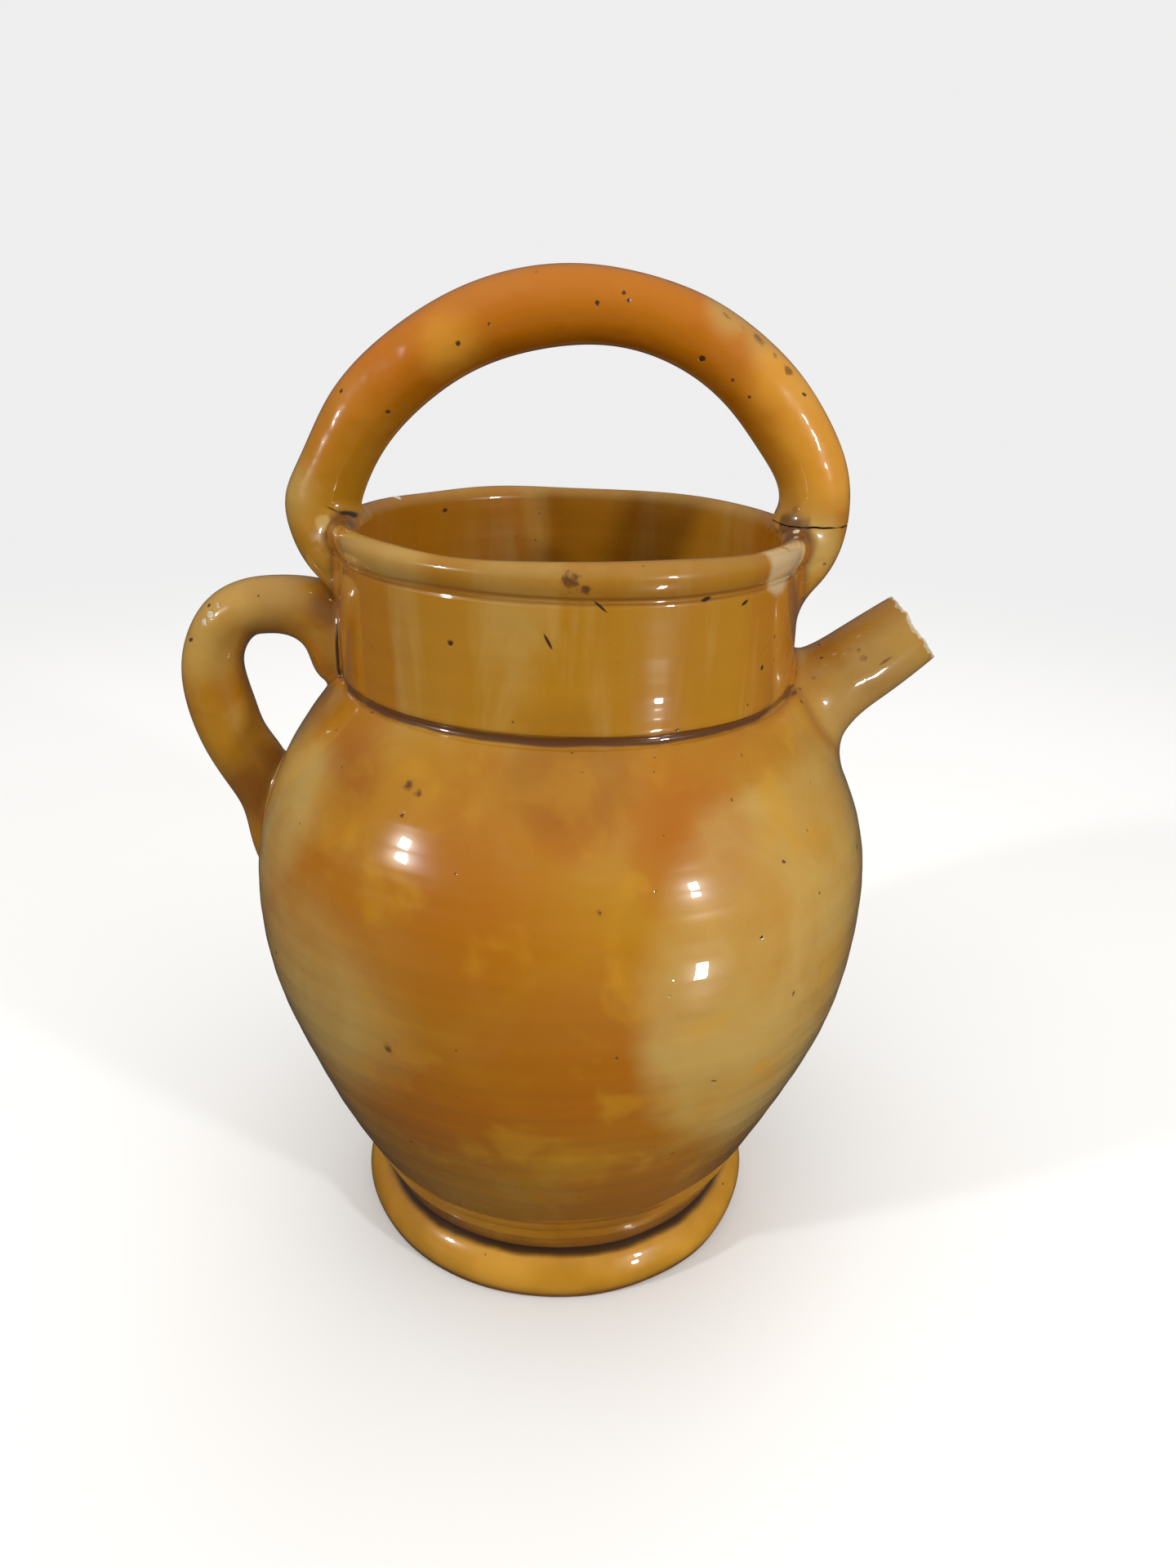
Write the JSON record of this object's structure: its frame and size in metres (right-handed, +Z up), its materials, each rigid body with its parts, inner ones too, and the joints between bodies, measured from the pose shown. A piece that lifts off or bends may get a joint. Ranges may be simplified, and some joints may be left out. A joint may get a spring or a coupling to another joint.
{
  "type": "pouring jug",
  "caption": "Wide-mouthed glazed earthenware water jug with a basket handle over the mouth, a loop side handle and a short, broken tube spout.",
  "frame": {"origin": "middle of the flat underside of the foot", "axes": "+Z up through the mouth, +X towards the spout, -X towards the side handle"},
  "size_m": [0.2067, 0.1728, 0.2713],
  "materials": {
    "body_glaze": "amber lead glaze, glossy, mottled",
    "handle_glaze": "amber lead glaze, glossy",
    "spout_glaze": "tan glaze with bare clay at the broken tip"
  },
  "bodies": {
    "root": {"base_floor": "body_glaze", "foot_ring": "body_glaze", "belly_wall": "body_glaze", "neck_collar": "body_glaze", "rim_bead": "body_glaze", "bail_arch": "handle_glaze", "bail_root_left": "handle_glaze", "bail_root_right": "handle_glaze", "side_handle": "handle_glaze", "side_handle_upper_joint": "handle_glaze", "side_handle_lower_joint": "handle_glaze", "spout_tube": "spout_glaze", "spout_root": "spout_glaze"}
  },
  "joints": []
}
